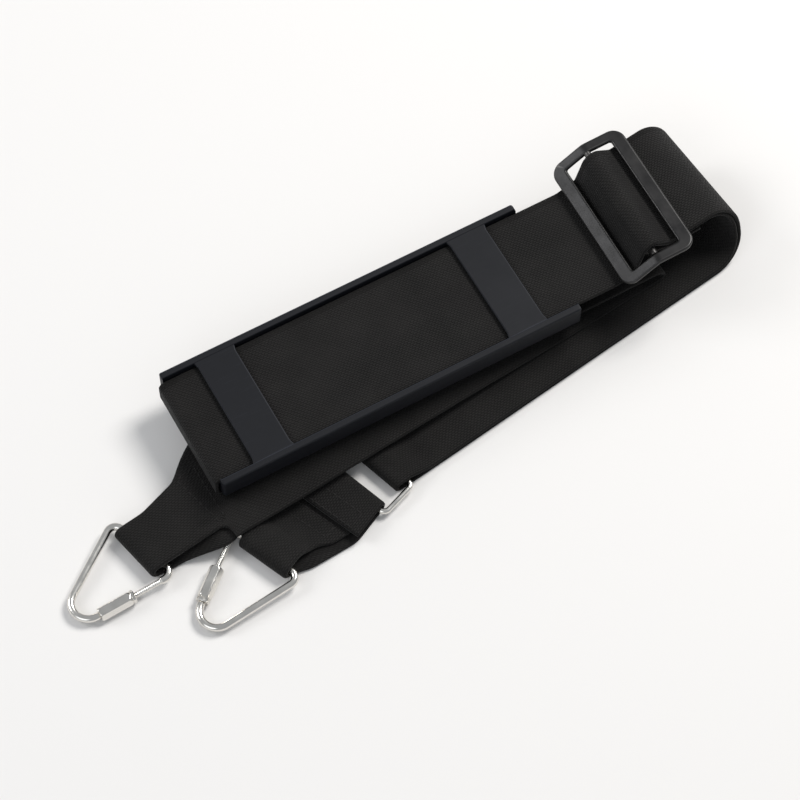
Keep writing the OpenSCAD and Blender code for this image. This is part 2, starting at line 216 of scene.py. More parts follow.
class Ribbon:
    """Webbing along a route: its middle line, frame and sizes at evenly spaced stations."""

    def __init__(self, route, relief=None):
        points, values = [], []
        same_place = 0.01
        for i, (p, r, size) in enumerate(route):
            inside = 0 < i < len(route) - 1
            for q in bend(route[i - 1][0], p, route[i + 1][0], r) if inside else [p]:
                if not points or np.linalg.norm(q - points[-1]) > same_place:
                    points.append(q)
                    values.append(size)
        points, values = np.array(points), np.array(values, float)
        run = np.concatenate([[0], np.cumsum(np.linalg.norm(np.diff(points, axis=0), axis=1))])
        self.length = run[-1]
        self.s = np.linspace(0, self.length, int(self.length / STEP) + 1)
        self.p = np.stack([np.interp(self.s, run, points[:, k]) for k in range(3)], 1)
        size = np.stack([np.interp(self.s, run, values[:, k]) for k in range(4)], 1)
        size = smooth_values(size, BLUR)
        turn = np.radians(size[:, 0])
        self.half, self.thick, self.slack = size[:, 1], size[:, 2], size[:, 3]
        tangent = np.gradient(self.p, self.s, axis=0)
        self.w = np.stack([-np.sin(turn), np.cos(turn), np.zeros_like(turn)], 1)
        normal = np.cross(tangent, self.w)
        self.n = normal / np.linalg.norm(normal, axis=1)[:, None]
        self.relief = relief

    def place(self, i, across, height):
        """The point at station i, across from -1 to 1, height thicknesses above the middle."""
        edge = across * self.half[i]
        p = self.p[i] + self.w[i] * edge
        wave = self.slack[i] * self.ripple(self.s[i], edge)
        if self.relief:
            wave += self.relief(p)
        p = p + self.n[i] * (wave + height * self.thick[i])
        return np.array([p[0], p[1], max(p[2], 0.0)])

    def ripple(self, s, edge):
        """Gentle unevenness of worn webbing, from about -1 to 1, more at the edges."""
        broad = noise.noise(Vector((s / 21, edge / 30, 3.1)))
        fine = noise.noise(Vector((s / 8, edge / 11, 7.7)))
        return (broad + 0.5 * fine) * (0.5 + 0.5 * (edge / (WEB_W / 2)) ** 2)

    def section(self, i):
        """The ring of points at station i: over the top, round one edge, under, round the other."""
        half, thick = self.half[i], self.thick[i]
        inner = 1 - 0.5 * thick / half
        flat = np.linspace(inner, -inner, ACROSS)
        ring = [(a, 0.5) for a in flat]
        for k in range(1, EDGE_POINTS + 1):
            a = math.pi * k / (EDGE_POINTS + 1)
            ring.append((-inner - (1 - inner) * math.sin(a), 0.5 * math.cos(a)))
        ring += [(a, -0.5) for a in flat[::-1]]
        for k in range(1, EDGE_POINTS + 1):
            a = math.pi * k / (EDGE_POINTS + 1)
            ring.append((inner + (1 - inner) * math.sin(a), -0.5 * math.cos(a)))
        return ring

    def build(self, name):
        """The webbing's closed mesh, with a UV map in metres: across the webbing and along it."""
        rows, cols = len(self.s), 2 * (ACROSS + EDGE_POINTS)
        points, lateral = [], []
        for i in range(rows):
            here = np.array([self.place(i, a, h) for a, h in self.section(i)])
            points += list(here)
            steps = np.linalg.norm(np.roll(here, -1, 0) - here, axis=1)
            lateral.append(np.concatenate([[0], np.cumsum(steps)]))
        faces = [face[::-1] for face in grid_faces(rows, cols)]
        lateral = np.array(lateral)
        lateral -= lateral[:, ACROSS // 2][:, None]
        uv = []
        for f in range(len(faces)):
            i, j = divmod(f, cols)
            uv += [
                (lateral[i + 1][j], self.s[i + 1]), (lateral[i + 1][j + 1], self.s[i + 1]),
                (lateral[i][j + 1], self.s[i]), (lateral[i][j], self.s[i]),
            ]
        for i, cap in zip((0, -1), end_caps(rows, cols)):
            faces.append(cap)
            uv += [(CAP_ACROSS, self.s[i])] * cols
        return mesh_object(name, points, faces, uv=np.array(uv) * MM)


# Soft creases: where each starts and ends in plan, its width and its height
STRAP_CREASES = (
    ((-97, -33), (-74, -38.5), 1.6, -0.35),
    ((-93, -30.5), (-70, -31), 1.8, 0.3),
    ((-90, -20), (-82, -33), 1.5, 0.28),
    ((-86, -24), (-78, -40), 1.3, -0.3),
)
TAB_CREASES = (
    ((-69.5, -43), (-63.8, -57.4), 1.0, -0.4),
    ((-76, -50), (-67, -47.5), 1.5, 0.25),
    ((-74.5, -55.5), (-65, -55), 1.4, 0.22),
)


def crease(p, start, end, width, height):
    """The height at p of a soft crease between two plan points."""
    start, end = np.array(start), np.array(end)
    run = end - start
    share = float((p[:2] - start) @ run / (run @ run))
    off = float(np.linalg.norm(p[:2] - start - run * min(1, max(0, share))))
    return height * math.exp(-((off / width) ** 2))


def strap_relief(p):
    """Puckers in the upper layer of the long strap, where it is folded narrow for link A."""
    right_end, lowest = -60, 8.6
    if p[0] > right_end or p[2] < lowest:
        return 0.0
    return sum(crease(p, *row) for row in STRAP_CREASES)


def tab_relief(p):
    """The step in the tab's upper layers, over what is folded in at its link end."""
    lowest = 3.4
    if p[2] < lowest:
        return 0.0
    return sum(crease(p, *row) for row in TAB_CREASES)


HALF_W, HALF_END = WEB_W / 2, END_W / 2
WIDE, NARROW = (HALF_W, WEB_T), (HALF_END, FOLDED_T)
RUN3_AT, RUN3_SLOPE = (-76.6, -18.9), 0.103
RUN4_SLOPE = 0.142
RUN3_SINKS_AT, RUN3_SINKS_OVER = -10, 90


def run3_y(x):
    """Where run 3's middle line is at x, in plan."""
    return RUN3_AT[1] + (x - RUN3_AT[0]) * RUN3_SLOPE


def run4_y(x):
    """Where run 4's middle line is at x, in plan."""
    return STRAP_BAR[1] + (x - STRAP_BAR[0]) * RUN4_SLOPE


def run3_height(x):
    """Run 3 lies close under run 2 at its left end, and sinks to the two layers of run 4."""
    return RUN3_Z + (RUN3_LOW_Z - RUN3_Z) * min(1, max(0, (x - RUN3_SINKS_AT) / RUN3_SINKS_OVER))


def main_route():
    """From the flap at link A, round the link, and through all four runs to the flap at the slide."""
    link_fold = LINK_A_AT[0] - 4.3
    strap_fold = STRAP_BAR[0] - RING_LOOP - 2.6
    return [
        stop(-81, -25.4, RUN3_Z - FOLDED_T - 0.3, 0, 13, (15.5, FOLDED_T)),
        stop(-91.5, -27.8, RUN3_Z - FOLDED_T - 0.4, 8, 13, (17, FOLDED_T)),
        stop(-110, -28.4, LINK_Z - LINK_LOOP, 8, 13, NARROW),
        stop(link_fold, -28.8, LINK_Z - LINK_LOOP, LINK_LOOP, 13, NARROW),
        stop(link_fold, -28.8, LINK_Z + LINK_LOOP, LINK_LOOP, 13, NARROW),
        stop(-110, -27.4, LINK_Z + LINK_LOOP + 0.7, 12, 14, NARROW, 0.2),
        stop(-92.5, -24, RUN3_Z - 0.25, 12, 18, (14, FOLDED_T), 0.1),
        stop(-79.5, run3_y(-79.5), RUN3_Z, 20, -8, WIDE),
        *[stop(x, run3_y(x), run3_height(x), 20, 5.9, WIDE) for x in (-40, 20, 80)],
        stop(HAIRPIN_X, run3_y(HAIRPIN_X), RUN3_LOW_Z, HAIRPIN_R, 5, WIDE),
        stop(HAIRPIN_X, 1.2, RUN2_Z, HAIRPIN_R, 1, WIDE),
        stop(LEFT_X, 0, RUN2_Z, LEFT_R, 0, WIDE),
        stop(LEFT_X, 0, RUN1_Z, LEFT_R, 0, WIDE),
        stop(101, 0, RUN1_Z, 10, 0, WIDE),
        stop(109.8, 0.6, RIDGE[2] - 9.9, 3, SLIDE_TURN, WIDE),
        stop(115.1, 1.2, RIDGE[2] + 7.1, OVER_R, SLIDE_TURN, WIDE),
        stop(126.8, 2.5, FAR_Z, 3, SLIDE_TURN, WIDE),
        stop(FOLD_X, 7.3, FOLD_TOP, FOLD_R, 5, WIDE),
        stop(FOLD_X, run4_y(FOLD_X), RUN4_Z, FOLD_R, 5, WIDE),
        stop(20, run4_y(20), RUN4_Z, 0, 8, WIDE),
        stop(strap_fold, STRAP_BAR[1] - 0.9, RUN4_Z, RING_LOOP, 18, WIDE),
        stop(strap_fold, STRAP_BAR[1] - 0.9, RING_Z + RING_LOOP, RING_LOOP, 18, WIDE),
        stop(STRAP_BAR[0] + 2.5, run4_y(STRAP_BAR[0] + 2.5), RING_Z + RING_LOOP, 4, 18, WIDE),
        stop(-6, run4_y(-6), SEWN_Z, 12, 10, WIDE),
        stop(20, run4_y(20), SEWN_Z, 0, 8, WIDE),
        stop(FOLD_X - LAYER, run4_y(FOLD_X - LAYER), SEWN_Z, INNER_R, 5, WIDE),
        stop(FOLD_X - LAYER, 7.1, FOLD_TOP - LAYER, INNER_R, 5, WIDE),
        stop(126.2, 2.5, FAR_Z - LAYER, 3, SLIDE_TURN, WIDE),
        stop(RIDGE[0] - LOOP_R, RIDGE[1], RIDGE[2] + 4.95, LOOP_R, SLIDE_TURN, WIDE),
        stop(RIDGE[0] - LOOP_R, RIDGE[1], RIDGE[2] - 1.7, LOOP_R, SLIDE_TURN, WIDE),
        stop(126.6, 2.5, FAR_Z - 2 * LAYER - 0.3, 3, SLIDE_TURN, WIDE),
        stop(143, 4.4, FOLD_TOP - 2 * LAYER - 0.1, 0, SLIDE_TURN, WIDE),
    ]


def tab_stop(along, z, r, turn, size):
    """A stop of the tab's route, along mm from the ring's bar."""
    return stop(*tab_point(along, z), r, turn, size)


def tab_route():
    """From the flap at the ring, round its bar, under the tab, round link B and back."""
    fold = -RING_LOOP - 0.6
    return [
        tab_stop(16.5, SEWN_Z + LAYER + 0.1, 0, 23, WIDE),
        tab_stop(5, RING_Z + RING_LOOP - 0.1, 6, 23, WIDE),
        tab_stop(fold, RING_Z + RING_LOOP, RING_LOOP, 20, WIDE),
        tab_stop(fold, RUN4_Z, RING_LOOP, 20, WIDE),
        tab_stop(18, RUN4_Z, 0, 25, WIDE),
        tab_stop(38, LINK_Z - LINK_LOOP, 0, 24, (17, FOLDED_T)),
        tab_stop(TAB_L + 3.2, LINK_Z - LINK_LOOP, LINK_LOOP, 23.4, NARROW),
        tab_stop(TAB_L + 3.2, LINK_Z + LINK_LOOP, LINK_LOOP, 23.4, NARROW),
        tab_stop(TAB_L - 6, LINK_Z + LINK_LOOP - 0.1, 6, 24, NARROW),
        tab_stop(31, SEWN_Z + 0.7, 8, 25, (13.5, FOLDED_T)),
        tab_stop(25.5, SEWN_Z, 0, 25, (18, WEB_T)),
        tab_stop(17, SEWN_Z, 0, 25, (21, WEB_T)),
        tab_stop(6.5, SEWN_Z, 0, 24, (21, WEB_T)),
    ]


def webbing():
    """The long strap and the tab: their routes, which the stitching follows, and their objects."""
    main = Ribbon(main_route(), strap_relief)
    tab = Ribbon(tab_route(), tab_relief)
    made = []
    for name, ribbon, node, body in (
        ("webbing_long_strap", main, "main_webbing", "strap"),
        ("webbing_end_tab", tab, "tab_webbing", "tab"),
    ):
        obj = ribbon.build(name)
        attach(obj, body)
        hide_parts(node)
        made.append(obj)
    return main, tab, made


# ---- shoulder pad ----
SUPPORT = 0.12  # mm from a fillet to the point that keeps the flat beside it flat


def rounded(corners, steps=5):
    """A closed outline with each corner (x, y, radius) rounded, and a point beside each fillet."""
    out = []
    n = len(corners)
    for i, (x, y, r) in enumerate(corners):
        p = np.array([x, y], float)
        a = np.array(corners[i - 1][:2], float)
        b = np.array(corners[(i + 1) % n][:2], float)
        d1, d2 = unit(p - a), unit(b - p)
        fillet = round_corner(p, d1, d2, r, steps)
        out += [fillet[0] - d1 * SUPPORT, *fillet, fillet[-1] + d2 * SUPPORT]
    return np.array(out)


def pad_outline():
    """The pad's section: a sole with slanting edges, two rims, and the tray between them."""
    half, inner = PAD_W / 2, PAD_W / 2 - RIM_W
    floor, slant = PAD_H - TRAY_DEPTH, 2
    return rounded([
        (-half, PAD_H, 0.8), (-half, slant, 1.2), (-half + slant, 0, 0.8), (half - slant, 0, 0.8),
        (half, slant, 1.2), (half, PAD_H, 0.8), (inner, PAD_H, 0.6), (inner, floor, 0.9),
        (-inner, floor, 0.9), (-inner, PAD_H, 0.6),
    ])


def groove(x):
    """1 in the middle of a groove between two ribs, 0 on a rib."""
    slope = 0.25
    from_middle = abs((x / RIB_PITCH + 0.5) % 1 - 0.5) * RIB_PITCH
    return float(1 - smoothstep(from_middle, RIB_PITCH / 4 - slope, RIB_PITCH / 4 + slope))


def pad_body():
    """The moulding's tray: its outline swept along the pad, with ribs underneath and rounded ends."""
    outline = pad_outline()
    half_l, round_l, plain_l, step = PAD_L / 2, 0.8, 3, 0.25
    ends = [half_l - round_l * (1 - math.sin(a)) for a in np.linspace(0, math.pi / 2, 5)]
    middle = np.arange(-half_l + round_l + 0.1, half_l - round_l, step)
    xs = [-x for x in reversed(ends)] + list(middle) + ends
    centre = np.array([0, 3.5])  # the point of the section that the rounded ends draw in towards
    points = []
    for x in xs:
        over = max(0.0, abs(x) - (half_l - round_l))
        inset = round_l - math.sqrt(max(0.0, round_l**2 - over**2))
        lift = RIB_DEPTH * groove(x) if abs(x) < half_l - plain_l else 0.0
        for y, z in outline:
            outward = unit(np.array([y, z]) - centre)
            y2, z2 = np.array([y, z]) - outward * inset
            points.append((x, y2, PAD_Z + max(z2, lift)))
    size = len(xs), len(outline)
    return points, grid_faces(*size) + end_caps(*size)


def pad_bridge(x):
    """A flat strap across the tray, a little below the rims, that flares where it meets them."""
    drop, bury, fillet, flare_w, flare_l = 0.25, 1.2, 0.5, 0.7, 1.6
    half, reach, under = BRIDGE_W / 2, PAD_W / 2 - RIM_W + bury, -BRIDGE_T + drop
    outline = rounded([(-half, 0, fillet), (-half, under, fillet), (half, under, fillet), (half, 0, fillet)])
    ys = np.linspace(-reach, reach, 30)
    points = []
    for y in ys:
        flare = flare_w * (1 - smoothstep(reach - bury - abs(y), 0, flare_l))
        for u, v in outline:
            points.append((x + u + math.copysign(flare, u), y, RIM_Z - drop + v))
    size = len(ys), len(outline)
    return points, grid_faces(*size) + end_caps(*size)


def consistent(obj):
    """Turns every face of a closed mesh outwards."""
    bm = bmesh.new()
    bm.from_mesh(obj.data)
    bmesh.ops.recalc_face_normals(bm, faces=bm.faces)
    bm.to_mesh(obj.data)
    bm.free()
    return obj


def joined(obj, *others):
    """obj made one solid with others, which are used up."""
    for other in others:
        union = obj.modifiers.new("union", "BOOLEAN")
        union.operation = "UNION"
        union.solver = "EXACT"
        union.object = other
        bpy.context.view_layer.update()
        dg = bpy.context.evaluated_depsgraph_get()
        mesh = bpy.data.meshes.new_from_object(obj.evaluated_get(dg), depsgraph=dg)
        obj.modifiers.clear()
        obj.data = mesh
        bpy.data.objects.remove(other)
    return obj


def shoulder_pad():
    """The pad's moulding, one solid with its two bridges."""
    body = consistent(mesh_object("shoulder_pad_moulding", *pad_body()))
    bridges = [consistent(mesh_object(f"bridge_{x}", *pad_bridge(x))) for x in (-BRIDGE_X, BRIDGE_X)]
    pad = joined(body, *bridges)
    pad.data.polygons.foreach_set("use_smooth", [True] * len(pad.data.polygons))
    pad.data.set_sharp_from_angle(angle=math.radians(50))
    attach(pad, "pad")
    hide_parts("shoulder_pad")
    return pad


# ---- slide ----
def rounded_rectangle(half_x, half_y, r, corner_steps, side_x, side_y):
    """A closed loop with the same count of points whatever its size: corners and straight sides."""
    arcs = []
    for k, (sx, sy) in enumerate(((1, 1), (-1, 1), (-1, -1), (1, -1))):
        middle = np.array([sx * (half_x - r), sy * (half_y - r)])
        angles = [math.radians(90 * (k + i / corner_steps)) for i in range(corner_steps + 1)]
        arcs.append([middle + r * np.array([math.cos(a), math.sin(a)]) for a in angles])
    loop = []
    for k, corner in enumerate(arcs):
        last, following = corner[-1], arcs[(k + 1) % 4][0]
        count = side_y if k % 2 else side_x
        loop += corner
        loop += [last + (following - last) * i / count for i in range(1, count)]
    return np.array(loop)


LEAF_BEND = 2.4  # mm over which the plate bends at its ridge


def leaf_slope(p):
    """The slope of the bent plate, in radians, p mm from its ridge."""
    share = float(smoothstep(p, -LEAF_BEND / 2, LEAF_BEND / 2))
    return math.radians(LEAF_FALL + (LEAF_RISE - LEAF_FALL) * share)


def leaf_line(p, h):
    """The bent plate's section: the point p mm from the ridge and h mm above the plate's middle."""
    steps = 40
    near = max(-LEAF_BEND, min(LEAF_BEND, p))
    x = z = 0.0
    for k in range(steps):
        a = leaf_slope(near * (k + 0.5) / steps)
        x += math.cos(a) * near / steps
        z += math.sin(a) * near / steps
    a = leaf_slope(p)
    x += math.cos(a) * (p - near)
    z += math.sin(a) * (p - near)
    return x - math.sin(a) * h, z + math.cos(a) * h


def slide_frame():
    """The slide's bent frame: a rounded section swept between its outer and its inner outline."""
    counts = 10, 30, 24
    outer = rounded_rectangle(LEAF_L, SLIDE_L / 2, SLIDE_R, *counts)
    inner = rounded_rectangle(LEAF_L - BAR_W, SLIDE_L / 2 - SIDE_W, SLIDE_R - SIDE_W, *counts)
    edge, half_t = 0.85, PLATE_T / 2
    turn = math.radians(SLIDE_TURN)
    points = []
    for a, b in zip(outer, inner):
        width = np.linalg.norm(a - b)
        ring = rounded([
            (0, half_t, edge), (0, -half_t, edge), (width, -half_t, edge), (width, half_t, edge),
        ], steps=4)
        for d, h in ring:
            p, q = a + (b - a) * d / width
            x, z = leaf_line(p, h)
            points.append((
                RIDGE[0] + x * math.cos(turn) - q * math.sin(turn),
                RIDGE[1] + x * math.sin(turn) + q * math.cos(turn),
                RIDGE[2] + z,
            ))
    faces = grid_faces(len(outer), len(ring), closed_rows=True)
    obj = consistent(mesh_object("slide_frame_casting", points, faces))
    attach(obj, "slide")
    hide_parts("slide_frame")
    return obj


# ---- wire ----
def swept(path, radius, around=24, closed=False, shape=None):
    """A tube round path. radius(i) is its radius, shape(i, angle) changes that round the tube."""
    path = np.asarray(path, float)
    n = len(path)
    if closed:
        tangents = np.roll(path, -1, 0) - np.roll(path, 1, 0)
    else:
        tangents = np.gradient(path, axis=0)
    tangents /= np.linalg.norm(tangents, axis=1)[:, None]
    side = unit(np.cross(tangents[0], np.array([0, 0, 1.0])))
    points = []
    for i in range(n):
        side = unit(side - tangents[i] * (side @ tangents[i]))
        other = np.cross(tangents[i], side)
        for k in range(around):
            a = 2 * math.pi * k / around
            r = radius(i) + (shape(i, a) if shape else 0)
            points.append(path[i] + r * (math.cos(a) * side + math.sin(a) * other))
    faces = grid_faces(n, around, closed_rows=closed)
    return points, faces if closed else faces + end_caps(n, around)


def ring_path():
    """The middle line of the ring's wire."""
    half_x, half_y = RING_SPAN / 2, RING_ROOM / 2 + RING_D / 2
    loop = rounded_rectangle(half_x, half_y, RING_R, 10, 12, 40)
    c, s = math.cos(math.radians(RING_TURN)), math.sin(math.radians(RING_TURN))
    return [RING_AT + np.array([x * c - y * s, x * s + y * c, 0]) for x, y in loop]


def ring():
    """The rectangular wire ring."""
    obj = consistent(mesh_object("wire_ring", *swept(ring_path(), lambda i: RING_D / 2, closed=True)))
    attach(obj, "ring")
    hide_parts("ring")
    return obj


def link_matrix(at, turn):
    """Puts a link in its place, turned in plan and tilted so that its sleeve comes down to the floor."""
    in_plan = Matrix.Rotation(math.radians(turn), 4, "Z")
    tilted = Matrix.Rotation(-LINK_TILT, 4, "Y")
    return Matrix.Translation(Vector(at)) @ in_plan @ tilted


def on_leg(along):
    """A point of the sleeve's leg, along mm from the sharp base corner, in the link's plane."""
    a = math.pi + HALF_APEX
    return np.array([math.cos(a) * along, LINK_BASE / 2 + math.sin(a) * along])


BASE_ANGLE = math.pi / 2 - HALF_APEX
CORNER_CUT = CORNER_R / math.tan(BASE_ANGLE / 2)
STUD_IN, STUB_IN = 6, 4  # mm of thread inside the closed sleeve, at its two ends
STUD_END = SLEEVE_FROM + STUD_IN
STUB_START = SLEEVE_END - STUB_IN
SHOULDER_L = 1.5         # mm of full wire between the corner's round and the stud
SEAT = 0.1               # mm between the closed sleeve and the stub's shoulder
THREAD_PITCH = 0.8
THREAD_DEPTH = 0.24


def rod_path():
    """The wire's middle line in the link's plane, from the stud round the link to the stub."""
    sharp = [np.array([0, LINK_BASE / 2]), np.array([0, -LINK_BASE / 2]), np.array([-LINK_H, 0])]
    radii = [CORNER_R, CORNER_R, APEX_R]
    line = [on_leg(STUD_END)]
    for k, (p, r) in enumerate(zip(sharp, radii)):
        a = sharp[k - 1]
        b = sharp[(k + 1) % 3]
        line += bend(a, p, b, r)
    line.append(on_leg(STUB_START))
    line = np.array(line)
    run = np.concatenate([[0], np.cumsum(np.linalg.norm(np.diff(line, axis=0), axis=1))])
    thread_l = STUD_END - CORNER_CUT - SHOULDER_L
    stub_l = SLEEVE_END + SEAT - STUB_START
    fine, coarse, beyond = 0.1, 0.6, 0.6
    fine_to, fine_from = thread_l + beyond, run[-1] - stub_l - beyond
    s = np.concatenate([
        np.arange(0, fine_to, fine), np.arange(fine_to, fine_from, coarse),
        np.arange(fine_from, run[-1], fine), [run[-1]],
    ])
    points = np.stack([np.interp(s, run, line[:, 0]), np.interp(s, run, line[:, 1])], 1)
    return points, s, thread_l, run[-1] - stub_l


def link_rod(name, at, turn, side, body, node):
    """A link's bent wire, with a threaded stud at its start and a threaded stub at its end."""
    flat, s, thread_l, stub_at = rod_path()
    matrix = link_matrix(at, turn)
    path = [np.array(matrix @ Vector((x, side * y, 0))) for x, y in flat]

    # mm from a shoulder to the end of its slope on the thread and on the wire, and to the first turn
    on_thread, on_wire, plain_l = 0.1, 0.35, 0.3
    tip_in, tip_l = 0.35, 0.5

    def radius(i):
        past_stud = smoothstep(s[i], thread_l - on_thread, thread_l + on_wire)
        past_stub = smoothstep(s[i], stub_at - on_wire, stub_at + on_thread)
        full = float(past_stud * (1 - past_stub))
        from_tip = min(s[i], s[-1] - s[i])
        taper = tip_in * float(1 - smoothstep(from_tip, 0, tip_l))
        return THREAD_D / 2 + (LINK_D - THREAD_D) / 2 * full - taper

    def thread(i, angle):
        if thread_l - plain_l < s[i] < stub_at + plain_l:
            return 0.0
        phase = (s[i] / THREAD_PITCH + angle / (2 * math.pi)) % 1
        return -THREAD_DEPTH * abs(2 * phase - 1)

    around = 28
    obj = consistent(mesh_object(name, *swept(path, radius, around, shape=thread)))
    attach(obj, body)
    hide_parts(node)
    return obj


def link_sleeve(name, at, turn, side, rim_at_start, body, node):
    """A hexagonal sleeve with turned ends and a round rim at one of them."""
    around = 72
    bore_room, corner_cut, rim_out, neck_in = 0.05, 0.12, 0.08, 0.25
    bore, flat = THREAD_D / 2 + bore_room, SLEEVE_AF / 2
    corner = flat / math.cos(math.radians(30)) - corner_cut
    rim_l, rim_r, rim_round, neck_l = 1.6, flat + rim_out, 0.35, 0.5
    hex_at = rim_l + neck_l
    chamfer_from, chamfer_slope = 0.05, 0.62

    def outer(s, a):
        from_rim = s if rim_at_start else SLEEVE_L - s
        from_end = SLEEVE_L - from_rim
        hexagon = min(flat / math.cos((a % (math.pi / 3)) - math.pi / 6), corner)
        if from_rim < rim_l:
            inside = min(from_rim, rim_l - from_rim)
            return rim_r - rim_round * (1 - float(smoothstep(inside, 0, rim_round)))
        if from_rim < hex_at:
            return flat - neck_in
        chamfer = flat + chamfer_from + chamfer_slope * min(from_end, from_rim - hex_at)
        return min(hexagon, chamfer)

    # Stations along the sleeve, close together at the rim's two rounds, the neck and the chamfers
    cuts = {0, 0.05, 0.12, 0.22, rim_round}
    cuts |= {rim_l - rim_round, rim_l - 0.15, rim_l - 0.04, rim_l, rim_l + 0.02}
    cuts |= {hex_at + step for step in (0, 0.02, 0.25, 0.5)}
    cuts |= {SLEEVE_L - step for step in (0.5, 0.25, 0.02, 0)}
    stations = sorted(cuts | set(np.arange(3.0, SLEEVE_L - 0.6, 0.9)))
    if not rim_at_start:
        stations = sorted(SLEEVE_L - q for q in stations)
    matrix = link_matrix(at, turn)
    axis = unit(on_leg(1) - on_leg(0))
    across = np.array([-axis[1], axis[0]])
    points = []
    for s, inside in [(q, False) for q in stations] + [(q, True) for q in reversed(stations)]:
        middle = on_leg(SLEEVE_FROM + s)
        for k in range(around):
            a = 2 * math.pi * k / around
            r = bore if inside else outer(s, a)
            x, y = middle + across * r * math.cos(a)
            points.append(np.array(matrix @ Vector((x, side * y, r * math.sin(a)))))
    faces = grid_faces(2 * len(stations), around, closed_rows=True)
    obj = consistent(mesh_object(name, points, faces))
    obj.data.set_sharp_from_angle(angle=math.radians(28))
    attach(obj, body)
    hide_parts(node)
    return obj


# ---- stitching ----
STITCH_L, STITCH_W, STITCH_H, STITCH_PITCH = 2.5, 0.62, 0.34, 3.1


def stitch(points, faces, centre, along, across, up):
    """Adds one stitch, a lens of thread that dips into the webbing at both ends."""
    rows, around = 7, 8
    slimmest, sink = 0.12, 0.55
    start = len(points)
    for i in range(rows):
        t = i / (rows - 1)
        plump = math.sin(math.pi * (slimmest + (1 - 2 * slimmest) * t))
        middle = centre + along * (t - 0.5) * STITCH_L + up * (STITCH_H * (plump - sink))
        for k in range(around):
            a = 2 * math.pi * k / around
            sideways = across * math.cos(a) * STITCH_W / 2 * plump
            points.append(middle + sideways + up * math.sin(a) * STITCH_H / 2 * plump)
    faces += [tuple(start + v for v in face) for face in grid_faces(rows, around) + end_caps(rows, around)]


def stitch_box(name, ribbon, s_from, s_to, reach, face, body, node):
    """A box of stitches on the webbing from s_from to s_to, reach mm to each side of its middle."""
    points, faces = [], []

    def at(s, edge):
        i = int(np.clip(round(s / ribbon.length * (len(ribbon.s) - 1)), 1, len(ribbon.s) - 2))
        offset = (s - ribbon.s[i]) / (ribbon.s[i + 1] - ribbon.s[i])
        spread = edge / ribbon.half[i]
        base = ribbon.place(i, spread, 0.5 * face)
        ahead = ribbon.place(i + 1, spread, 0.5 * face)
        return base + (ahead - base) * offset, unit(ahead - base), ribbon.w[i], ribbon.n[i] * face

    rows = [((s_from, -reach), (s_from, reach)), ((s_to, -reach), (s_to, reach))]
    rows += [((s_from, side * reach), (s_to, side * reach)) for side in (-1, 1)]
    for (s0, e0), (s1, e1) in rows:
        span = math.hypot(s1 - s0, e1 - e0)
        count = max(2, round(span / STITCH_PITCH))
        for k in range(count):
            t = (k + 0.5) / count
            p, forward, w, up = at(s0 + (s1 - s0) * t, e0 + (e1 - e0) * t)
            along = w if s0 == s1 else forward
            across = forward if s0 == s1 else w
            stitch(points, faces, p, along, across, up)
    obj = consistent(mesh_object(name, points, faces))
    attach(obj, body)
    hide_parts(node)
    return obj


def station(ribbon, point):
    """The station of the webbing that is nearest to point."""
    return int(np.argmin(np.linalg.norm(ribbon.p - np.array(point), axis=1)))


def stitching(main, tab):
    """The four groups of stitches, each between the stations that are nearest to two points.

    side is 1 for stitches on the side that faces up at the first point, and -1 for the other side.
    """
    boxes = (
        ("link_a", "strap", main, [(x, -22, RUN3_Z - 0.1) for x in (-91.7, -85.2)], 12.6, 1),
        # The second point is nearest to the layer above, so these rows run on round the centre bar
        ("slide_end", "strap", main, [(x, 4, FAR_Z - 2 * LAYER) for x in (134.8, 141.7)], 20.6, -1),
        ("tab_ring", "tab", tab, [tab_point(along, 5.3) for along in (15.3, 8)], 20.6, 1),
        ("tab_link", "tab", tab, [tab_point(along, SEWN_Z) for along in (24.5, 18.5)], 14.6, 1),
    )
    made = []
    for name, body, ribbon, ends, reach, side in boxes:
        stations = [station(ribbon, point) for point in ends]
        face = side if ribbon.n[stations[0]][2] > 0 else -side
        s_from, s_to = sorted(ribbon.s[i] for i in stations)
        box = stitch_box(f"stitches_{name}", ribbon, s_from, s_to, reach, face, body, f"stitching_{name}")
        made.append(box)
    return made


